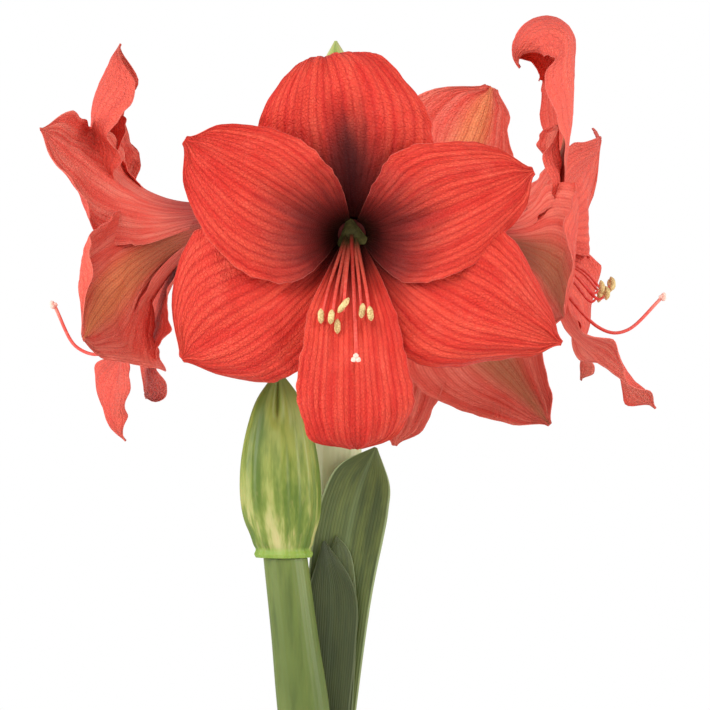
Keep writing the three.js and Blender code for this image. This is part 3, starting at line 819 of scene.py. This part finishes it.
def stamens(bloom, filament, pollen, star):
    """Six filaments on a ring in the tube, their anthers, and the green star that they rise from"""
    shape = Shape()
    shape.turned([(1.9, 9), (4.2, 9), (4.2, 12), (1.9, 12)], 24, slot=2, thread=(0, 0, 0))
    turn = turns(72)
    lobes = 0.5 + 0.5 * np.cos(3 * (turn - math.radians(98)))
    rings = [
        around(r + spread * lobes**2, turn, z + 0.9 * spread * lobes**2) for r, z, spread in STAR_RINGS
    ]
    shape.tube(np.stack(rings), 2, thread=(0, 0, 0))
    for k, (x, y) in enumerate(bloom["anthers"]):
        angle = math.radians(270 + 5 * x)
        reach = 78 + 3 * (k % 3)
        way = [
            (3.1 * math.cos(angle), 3.1 * math.sin(angle), 10),
            (x * 0.45, y * 0.26, 42),
            (x * 0.78, y * 0.66, reach - 16),
            (x * 0.98, y * 0.98 - 2.2, reach - 5),
            (x, y - 0.5, reach - 0.6),
        ]
        shape.rod(way, [1, 0.9, 0.75, 0.55], 12, 40, thread=thread)
        lean = 2.6 if k == 2 else 0.5 * math.sin(2.1 * k)
        anther = [(x - lean, y - 2.6, reach), (x, y + 1, reach + 0.9), (x + lean, y + 4.6, reach)]
        widths = [0.35, 1.25, 1.55, 1.5, 1.55, 1.25, 0.35]
        cleft = lambda t, turn: 1 - 0.24 * bell(turn, 1.5 * math.pi, 0.35)
        shape.rod(anther, widths, 20, 18, slot=1, relief=cleft, thread=thread)
    shape.place(*frame_of(bloom))
    paints = [filament, pollen, star]
    shape.piece(f"{bloom['name']}_stamens", paints, [f"stamens_{bloom['name']}"])


def pistil(bloom, style, stigma):
    """The style, and its three-lobed stigma"""
    shape = Shape()
    path = [(0, 0, 0), (0, -4, 30), *bloom["style"]]
    shape.rod(path, [1.1, 1, 0.9, 0.9], 14, 64, thread=thread)
    x, y, z = path[-1]
    for angle in (90, 210, 330):
        across, up = math.cos(math.radians(angle)), math.sin(math.radians(angle))
        lobe = [(x, y, z - 1.4), (x + across, y + up, z + 0.6), (x + 2.4 * across, y + 2.4 * up, z + 1.4)]
        shape.rod(lobe, [0.8, 1.0, 1.35, 0.5], 14, 14, slot=1, thread=thread)
    shape.place(*frame_of(bloom))
    shape.piece(f"{bloom['name']}_pistil", [style, stigma], [f"pistil_{bloom['name']}"])


# Stalks, buds and leaves


def main_stalk(paint, ovary_paint):
    """The main stalk, with the stems and ovaries that carry its blooms and the small bud"""
    shape = Shape()
    ribs = lambda t, turn: 1 + 0.006 * np.cos(26 * turn) + 0.012 * np.cos(3 * turn + 2 * t)
    way = [(4, 15, FOOT), (5, 15, 230), (8, 15, 330), UMBEL]
    widths, depths = [13, 12.8, 12.6, 12], [9.6, 10, 10, 9]
    shape.rod(way, widths, 104, 60, depths, level=True, relief=ribs, thread=thread)
    knees = {"front": (12, -6, 436), "left": (-8, 8, 446), "right": (30, 8, 436), "back": (11, 30, 432)}
    for bloom in BLOOMS:
        (_, _, out), base = frame_of(bloom)
        back = lambda far: tuple(base - out * far)
        stem = [UMBEL, knees[bloom["name"]], back(OVARY_LENGTH - 2)]
        shape.rod(stem, [7, 5, 4.6], 36, 30, thread=thread)
        ovary = [back(OVARY_LENGTH), back(OVARY_LENGTH / 2), back(GAP)]
        three = lambda t, turn: 1 + 0.05 * np.sin(math.pi * t) * np.cos(3 * turn)
        shape.rod(ovary, [4, 7.2, 6.4], 48, 16, slot=1, relief=three, thread=thread)
    bud_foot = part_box("small_bud")[0].z / MM - GAP
    bud_stem = [UMBEL, (8, 21, 446), (7.5, 24, bud_foot)]
    shape.rod(bud_stem, [6, 4.4, 4.6], 36, 24, level=True, thread=thread)
    shape.piece("main_stalk", [paint, ovary_paint], ["main_scape"])


def small_bud(paint):
    """The young bud among the blooms, with three shallow seams"""
    shape = Shape()
    foot, top = (corner.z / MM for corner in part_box("small_bud"))
    way = [(7.5, 24, foot), (7.5, 24.5, (foot + top) / 2), (7, 25, top)]
    halves = [5, 9.5, 11.4, 11.8, 10.6, 7.4, 0.7]
    seams = lambda t, turn: 1 + 0.03 * np.cos(3 * turn) * smooth(t, 0.1, 0.5) + 0.006 * np.cos(30 * turn)
    shape.rod(way, halves, 90, 48, level=True, relief=seams, bud=thread)
    shape.piece("young_bud", [paint], ["small_bud"])


def bud_stalk(paint):
    """The flattened stalk of the closed bud, with fine ribs and one ridge"""
    shape = Shape()
    way = [(-4, -17.5, FOOT), (-9.3, -19, 190.5), (-14, -20, 230), (-18.6, -20, 268.6)]
    ridge = lambda t, turn: 1 + 0.006 * np.cos(28 * turn) + 0.03 * bell(turn, 4.9, 0.25)
    widths, depths = [13, 13.4, 12, 11.3], [8.6, 9.4, 9.6, 9.4]
    shape.rod(way, widths, 112, 40, depths, level=True, relief=ridge, thread=thread)
    shape.piece("bud_stalk", [paint], ["bud_scape"])


def closed_bud(paint):
    """The sheath of the closed bud: a flared rim, long flutes, and a slit below its tip"""
    shape = Shape()
    way = [(-19.6, -20, 269), (-21.6, -20, 310), (-22.2, -20, 365)]
    halves = [13.8, 15.8, 19, 20.3, 20.2, 19, 16.2, 11, 0.8]
    depths = [11.5, 12.5, 14, 15, 15, 14, 12, 8, 0.8]

    def flutes(t, turn):
        fold = 0.022 * np.cos(9 * turn + 0.6) + 0.014 * np.cos(17 * turn) + 0.005 * np.cos(41 * turn)
        rim = 0.05 * bell(t, 0.02, 0.016) - 0.05 * bell(t, 0.055, 0.02)
        slit = -0.42 * bell(turn, 4.68, 0.16) * smooth(t, 0.72, 0.86) * (1 - smooth(t, 0.93, 0.985))
        lip = 0.08 * bell(turn, 5.02, 0.12) * smooth(t, 0.7, 0.85) * (1 - smooth(t, 0.9, 1))
        return 1 + fold * (1 - smooth(t, 0.5, 0.9)) + rim + slit + lip

    shape.rod(way, halves, 144, 110, depths, level=True, relief=flutes, bud=thread)
    shape.piece("closed_bud", [paint], ["bud_spathe"])


def strap(name, node, paint, strip, thickness, rows=90, columns=28, crumple=0.0, shade=0.0):
    """A tapering leaf or bract that faces the front, thick along its midrib and thin at its rounded
    edges. Its strip is its midrib, its half widths and how deep its channel is"""
    way, halves, channel = strip
    u, v = grid(rows, columns)
    tangent = along(way, np.minimum(u + 0.01, 1)) - along(way, np.maximum(u - 0.01, 0))
    side = unit(np.stack([tangent[..., 2], np.zeros_like(u), -tangent[..., 0]], -1))
    half = np.maximum(through(halves, u), 0.5)
    points = along(way, u) + side * (v * half)[..., None]
    points[..., 1] -= channel * v * v * (half / max(halves)) ** 2
    points[..., 1] += 0.05 * np.cos(TURN * 5.5 * v) * (1 - smooth(u, 0.9, 1))
    points[..., 1] += crumple * lumps(points, 14, len(name)) * smooth(u, 0.05, 0.3)
    thick = thickness * (1 - 0.65 * np.abs(v) ** 4) * (1 - 0.5 * smooth(u, 0.85, 1))
    shape = Shape()
    shape.blade(points, thick, leaf=lambda side: np.stack([u, v, np.full_like(u, shade)], -1))
    shape.piece(name, [paint], [node], sharp=60)


# Bulb, roots, soil and pot


def bulb(tunic, scale):
    """The bulb in its papery tunic, with loose flakes, and the scales in the mouth of its neck"""
    shape = Shape()
    outline = [(17.5, 46), (25, 48.2), (33, 52), (40, 59), (45, 68), (48.2, 80), (48.8, 92), (46, 110)]
    outline += [(38, 128), (33.6, 142), (32.4, 152), (31.4, 157.5)]
    radii, heights = zip(*outline[6:])
    outline += [(30, 157.6), (28.8, 155), (28.6, POCKET_FLOOR)]
    fine = [outline[0]]
    for (r0, z0), (r1, z1) in zip(outline, outline[1:]):
        fine += [(r0 + (r1 - r0) * k / 6, z0 + (z1 - z0) * k / 6) for k in range(1, 7)]

    def wrinkles(profile, turn):
        z = profile[:, 1:]
        spot = around(40, turn, z)
        outside = smooth(z, 47, 56) * (1 - smooth(z, 150, 157))
        layer = 0.5 * np.tanh(6 * lumps(spot, 46, 3, 2))
        return outside * (layer + 0.35 * lumps(spot * [1, 1, 0.2], 9, 5, 2) - 0.5)

    shape.turned(fine, 160, relief=wrinkles)
    draw = np.random.default_rng(21)
    for k in range(FLAKES):
        turn = TURN * (k + draw.uniform(0, 0.6)) / FLAKES
        low, high = draw.uniform(112, 122), draw.uniform(150, 163)
        u, v = grid(24, 14)
        z = low + (high - low) * u
        wide = 0.42 * (1 - 0.75 * u**2) + 0.02 * np.sin(9 * u + k)
        r = np.interp(z, heights, radii) + 0.5 + 2.2 * smooth(u, 0.55, 1) + 0.7 * np.sin(3 * v + k) * u
        points = around(r, turn + v * wide, z + 1.6 * np.cos(5 * v + k) * u)
        shape.blade(points, 0.35)
    turn = turns(96)
    for half_x, half_y, top in ((26.6, 27.9, 160), (23, 27.5, 163), (19.8, 27.3, 158)):
        ragged = top + 1.4 * np.sin(3 * turn + top) + 0.7 * np.sin(8 * turn)
        rings = []
        for inset, share in ((0, 0), (0, 0.5), (0, 1), (0.8, 1), (0.8, 0.5), (0.8, 0)):
            x, y = (half_x - inset) * np.cos(turn), (half_y - inset) * np.sin(turn)
            rings.append(np.stack([x, y, POCKET_FLOOR + (ragged - POCKET_FLOOR) * share], -1))
        shape.tube(np.stack(rings), 1)
    shape.piece("bulb_in_tunic", [tunic, scale], ["bulb"])


def roots(paint):
    """Fleshy roots that spread from the plate under the bulb"""
    shape = Shape()
    shape.turned([(15, 42.6), (17, 44), (16, 46 - GAP)], 48)
    for k in range(ROOTS):
        angles = [math.radians(51 * k + 12 * (k % 2) + swing) for swing in (0, 4, 12, 26)]
        steps = [(12, 44), (19, 37), (26, 31), (24, 21)]
        way = [(r * math.cos(a), r * math.sin(a), z) for (r, z), a in zip(steps, angles)]
        knots = lambda t, turn: 1 + 0.06 * np.sin(40 * t + k)
        shape.rod(way, [2.4, 2.2, 1.6, 0.9], 16, 40, relief=knots)
    shape.piece("root_tuft", [paint], ["roots"])


def soil(paint, crumb_paint):
    """Potting soil with a crumbly top"""
    shape = Shape()
    low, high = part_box("potting_soil")
    floor, top, wall = low.z / MM, high.z / MM - 1, high.x / MM
    turn = turns(120)
    slant = wall - (top - floor) * WALL_SLOPE
    outline = [(30, 18), (4, 18), (4, floor), (slant, floor), (wall, top - 2)]
    outline += [(wall - 4 - k * (wall - 51) / 14, top) for k in range(15)]
    outline += [(46.8, top - 1), (46.8, 108), (49.6, 92), (45.6, 68)]
    outline += [(34, 51.6), (26, 44), (34, 34), (30, 18)]
    rings = []
    for r, z in outline:
        ring = around(r, turn, z)
        if z == top:
            ring[:, 2] += 1.1 * lumps(ring, 15, 8) - 0.4
        rings.append(ring)
    shape.tube(np.stack(rings))
    draw = np.random.default_rng(5)
    for _ in range(CRUMBS):
        r = math.sqrt(draw.uniform(48.5**2, (wall - 2.5) ** 2))
        angle, size = draw.uniform(0, TURN), draw.uniform(0.5, 1.9) ** 1.3 * 0.7
        centre = np.array([r * math.cos(angle), r * math.sin(angle), top - 0.3])
        latitude = np.linspace(0.25, math.pi - 0.25, 5)[:, None]
        longitude = turns(8)[None, :]
        ball = around(np.sin(latitude), longitude, np.cos(latitude))
        uneven = draw.uniform(0.72, 1.2, (5, 8))[..., None]
        shape.tube(centre + ball * uneven * size * draw.uniform(0.7, 1.2, 3), 1)
    shape.piece("soil_with_crumbs", [paint, crumb_paint], ["potting_soil"], sharp=60)


def arc(centre, radius, start, end, steps=6):
    """Points round a corner of a profile, between two angles in degrees"""
    angles = np.radians(np.linspace(start, end, steps + 1))
    return [(centre[0] + radius * math.cos(a), centre[1] + radius * math.sin(a)) for a in angles]


def pot(paint):
    """A turned clay pot with a collar"""
    shape = Shape()
    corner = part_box("pot")[1]
    rim, height = corner.x / MM, corner.z / MM
    base, collar, wall, floor = 52, 30, 6, 9
    inside = lambda z: rim - wall - (height - z) * WALL_SLOPE
    under = height - collar
    profile = [(6, 0), (base - 14, 0), (base - 13, 0.8), (base - 7, 0.8), (base - 6, 0)]
    profile += arc((base - 1.6, 1.6), 1.6, -90, -10)
    out, up = inside(under) + wall - base, under - 1.6
    profile += [(base + out * k / 12, 1.6 + up * k / 12) for k in range(1, 13)]
    profile += arc((rim - 1.4, under + 1.6), 1.5, -90, -8)
    profile += [(rim - 0.1, under + collar * k / 6) for k in range(1, 5)]
    profile += arc((rim - 3.0, height - 3.0), 3.0, 0, 170, 12)
    profile += [*[(inside(z), z) for z in np.linspace(height - 6, floor, 14)], (6, floor)]

    def marks(outline, turn):
        z = outline[:, 1:]
        outer_side = smooth(z, 4, 12) * (outline[:, :1] > inside(z) + 2)
        bumps = lumps(around(60, turn, z), 60, 2, 2)
        return outer_side * (0.12 * np.sin(z * 1.1) + 0.12 * bumps - 0.15)

    shape.turned(profile, 180, relief=marks)
    shape.piece("clay_pot_turned", [paint], ["pot"], sharp=35)


# The pieces

TEPAL = tepal_paint()
FILAMENT = filament_paint("filament", (120, 110, 60), (214, 84, 66), (222, 62, 58), (246, 150, 130))
STYLE = filament_paint("style", (170, 120, 70), (216, 70, 58), (226, 84, 74), (240, 140, 124))
STIGMA = grain_paint("stigma", (255, 226, 212), (244, 186, 168), 0.0008, 0.0003, 0.6)
POLLEN = grain_paint("pollen", (236, 212, 150), (176, 138, 84), 0.0007, 0.0005)
STAR = grain_paint("throat_star", (158, 150, 90), (112, 106, 62), 0.004, 0.0004, 0.6)
LEAF = leaf_paint()
BRACT = bract_paint()

for number, bloom in enumerate(BLOOMS):
    tepals(bloom, TEPAL, 10 * (number + 1))
    stamens(bloom, FILAMENT, POLLEN, STAR)
    pistil(bloom, STYLE, STIGMA)

PALE_STEM = stem_paint("main_stalk", (214, 216, 178), (196, 202, 152), (164, 172, 116))
OVARY = stem_paint("ovary", (150, 160, 84), (118, 134, 62), (96, 106, 50))
main_stalk(PALE_STEM, OVARY)
small_bud(small_bud_paint())
bud_stalk(stem_paint("bud_stalk", (110, 124, 58), (88, 104, 42), (66, 82, 28)))
closed_bud(bud_paint())

# Each leaf's midrib, half widths and channel depth, and how much it is shaded
LEAVES = {
    "tall": (
        [
            (3, 2, FOOT), (4.6, 2, 188), (7, 2, 226), (10, 1, 256), (14, 0, 281), (19.5, -1, 304),
            (28, -2, 325),
        ],
        [10, 12, 14, 15.5, 16.6, 17.6, 18.2, 17.6, 14, 0.8],
        3,
        0.0,
    ),
    "short": (
        [(0, -5, FOOT), (1.5, -5, 186), (4, -5, 222), (5, -5, 250), (1.1, -5.4, 276.5)],
        [11, 12.4, 13.5, 12.4, 0.8],
        1.2,
        1.0,
    ),
    "small": (
        [(3, -1.6, FOOT), (5, -1.6, 190), (8, -1.8, 235), (9.4, -2, 266), (7.3, -2.4, 279)],
        [9, 11, 10, 6.5, 0.6],
        0.6,
        0.6,
    ),
}
for size, (*strip, shade) in LEAVES.items():
    strap(f"{size}_leaf", f"leaf_{size}", LEAF, strip, LEAF_THICKNESS, shade=shade)

BRACTS = {
    "left": [(-6.6, 14, 421), (-17, 12, 412), (-21, 10, 366)],
    "right": [(22.6, 14, 421), (32, 12, 412), (35, 10, 364)],
}
for side, way in BRACTS.items():
    strip = (way, [4, 8, 8.5, 6, 0.7], 1.5)
    node = f"spathe_bract_{side}"
    strap(f"bract_{side}", node, BRACT, strip, BRACT_THICKNESS, 60, 24, crumple=0.5)

SOIL = grain_paint("soil", (66, 48, 36), (34, 24, 18), 0.003, 0.0015)
CRUMB = grain_paint("crumb", (88, 64, 46), (42, 30, 22), 0.004, 0.0008)
bulb(tunic_paint(), grain_paint("neck_scale", (206, 204, 150), (160, 166, 102), 0.006, 0.0004, 0.5))
roots(grain_paint("root", (236, 224, 196), (204, 184, 144), 0.003, 0.0004))
soil(SOIL, CRUMB)
pot(clay_paint())


# Floor, light and camera


def stage():
    """A round pale floor just under the pot, small enough to stay out of the front view"""
    under = (0, 0, -0.0005)
    bpy.ops.mesh.primitive_circle_add(vertices=96, radius=1.4, fill_type="NGON", location=under)
    floor = bpy.context.object
    floor.name = "floor"
    paint = Paint("floor", 0.9, 0.2)
    cloud = paint.noise(paint.place(), 3.0, 2.0)
    floor.data.materials.append(paint.colour((236, 236, 234), (cloud, (242, 242, 240))))


def area_light(name, at, size):
    """A round white lamp that faces the plant"""
    data = bpy.data.lights.new(name, "AREA")
    data.shape = "DISK"
    data.size = size
    data.energy = LAMP_POWER
    light = add(name, data)
    light.location = at
    light.rotation_euler = (LAMP_TARGET - Vector(at)).to_track_quat("-Z", "Y").to_euler()


def studio():
    """The white surround, which lights the plant more softly than it is seen, and the lamps"""
    world = bpy.data.worlds.new("studio")
    world.use_nodes = True
    tree = world.node_tree
    seen = tree.nodes["Background"]
    lit = tree.nodes.new("ShaderNodeBackground")
    for background, strength in ((seen, SURROUND_SEEN), (lit, SURROUND_LIGHT)):
        background.inputs["Color"].default_value = (1, 1, 1, 1)
        background.inputs["Strength"].default_value = strength
    ray = tree.nodes.new("ShaderNodeLightPath")
    choice = tree.nodes.new("ShaderNodeMixShader")
    for output, k in ((ray.outputs["Is Camera Ray"], 0), (lit.outputs[0], 1), (seen.outputs[0], 2)):
        tree.links.new(output, choice.inputs[k])
    tree.links.new(choice.outputs[0], tree.nodes["World Output"].inputs["Surface"])
    bpy.context.scene.world = world
    for lamp in LAMPS:
        area_light(*lamp)


def camera():
    """The camera, level in front of the plant"""
    data = bpy.data.cameras.new("camera")
    data.sensor_width = SENSOR_WIDTH
    data.lens = SENSOR_WIDTH * -CAMERA_AT.y / VIEW_WIDTH
    made = add("camera", data)
    made.location = CAMERA_AT
    made.rotation_euler = (math.pi / 2, 0, 0)
    bpy.context.scene.camera = made


stage()
studio()
camera()
bpy.context.scene.view_settings.view_transform = "Standard"
